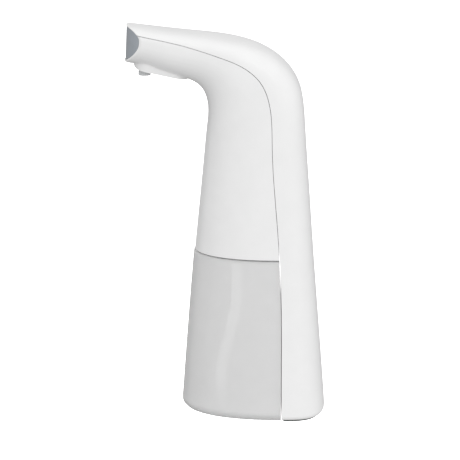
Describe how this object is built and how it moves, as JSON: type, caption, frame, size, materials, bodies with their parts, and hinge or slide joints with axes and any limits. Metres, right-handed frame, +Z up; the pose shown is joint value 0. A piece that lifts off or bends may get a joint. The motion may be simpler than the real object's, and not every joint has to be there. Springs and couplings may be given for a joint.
{
  "type": "counter-top automatic soap dispenser",
  "caption": "Swan-neck touchless foam soap dispenser that stands on a counter, with a frosted pull-off tank, a tip key and a battery pump.",
  "frame": {"origin": "on the counter under the tank, in the middle plane of the body", "axes": "+Z up; the spout points to -Y; X is across, and the body is symmetric outside about the plane X = 0"},
  "size_m": [0.074, 0.117, 0.2304],
  "materials": {
    "white_shell": "satin white moulded ABS",
    "frosted_tank": "frosted translucent polypropylene",
    "white_inner": "white moulded plastic",
    "cap_plastic": "blue-grey moulded plastic",
    "clear_plastic": "clear moulded plastic",
    "soft_grey_rubber": "moulded elastomer",
    "clear_hose": "translucent silicone",
    "key_window": "smoked blue-grey polycarbonate",
    "dark_window": "infrared filter plastic",
    "board_green": "solder mask",
    "black_plastic": "moulded",
    "led_clear": "clear epoxy",
    "pump_plastic": "natural acetal",
    "wobble_plastic": "acetal",
    "zinc_steel": "zinc plated",
    "motor_steel": "plated steel can",
    "shaft_steel": "ground steel",
    "fine_mesh": "woven nylon",
    "cell_wrap": "plain printed sleeve over a steel cell",
    "ribbon": "flat flexible cable"
  },
  "bodies": {
    "housing": {"base_foot": "soft_grey_rubber", "batteries": "cell_wrap", "battery_leads": "black_plastic", "battery_tray": "white_inner", "board_screws": "zinc_steel", "control_board": "board_green", "deck_screws": "zinc_steel", "diaphragm": "soft_grey_rubber", "foam_hose": "clear_hose", "foam_nozzle": "clear_plastic", "foam_screens": "fine_mesh", "front_shell": "white_shell", "ir_emitter": "led_clear", "ir_receiver": "black_plastic", "key_board": "board_green", "key_switch": "black_plastic", "motor": "motor_steel", "motor_leads": "black_plastic", "nozzle_cover": "white_shell", "pump_cover": "pump_plastic", "pump_damper": "soft_grey_rubber", "pump_deck": "white_inner", "pump_housing": "pump_plastic", "pump_screws": "zinc_steel", "rear_shell": "white_shell", "ribbon_cable": "ribbon", "sensor_board": "board_green", "sensor_window": "dark_window", "spigot_o_ring": "soft_grey_rubber", "spine_cover": "white_inner", "suction_hose": "clear_hose", "suction_spigot": "pump_plastic", "upper_contacts": "zinc_steel", "valve_plate": "pump_plastic"},
    "tank": {"tank": "frosted_tank", "cap_gasket": "soft_grey_rubber", "cap_insert": "white_inner", "dip_tube": "clear_hose", "tube_strainer": "clear_plastic"},
    "collar": {"cap_collar": "cap_plastic"},
    "key": {"power_key": "key_window", "switch_plunger": "black_plastic"},
    "rotor": {"rotor_shaft": "shaft_steel", "eccentric": "black_plastic"},
    "wobble": {"wobble_plate": "wobble_plastic"},
    "door": {"battery_door": "white_inner", "door_seal": "soft_grey_rubber", "door_contacts": "zinc_steel"}
  },
  "joints": [
    {"name": "tank_slide", "type": "slide", "parent": "housing", "child": "tank", "axis": [0, 0, -1], "range_m": [0, 0.11]},
    {"name": "cap_turn", "type": "hinge", "parent": "tank", "child": "collar", "pos_m": [0, -0.01, 0.102], "axis": [0, 0, 1], "range_deg": [0, 90]},
    {"name": "key_press", "type": "slide", "parent": "housing", "child": "key", "axis": [0, 1, 0], "range_m": [0, 0.0008], "stiffness_N_per_m": 1500, "springref_m": -0.0004},
    {"name": "motor_spin", "type": "hinge", "parent": "housing", "child": "rotor", "pos_m": [0, 0.01, 0.15], "axis": [0, 0, 1], "continuous": true, "deforming": ["diaphragm"]},
    {"name": "wobble_turn", "type": "hinge", "parent": "rotor", "child": "wobble", "pos_m": [0, 0.01, 0.141], "axis": [0.1392, 0, 0.9903], "continuous": true},
    {"name": "door_pull", "type": "slide", "parent": "housing", "child": "door", "axis": [0, 0, -1], "range_m": [0, 0.012]}
  ],
  "couplings": [
    {"joint": "wobble_turn", "follows": "motor_spin", "ratio": -1}
  ]
}
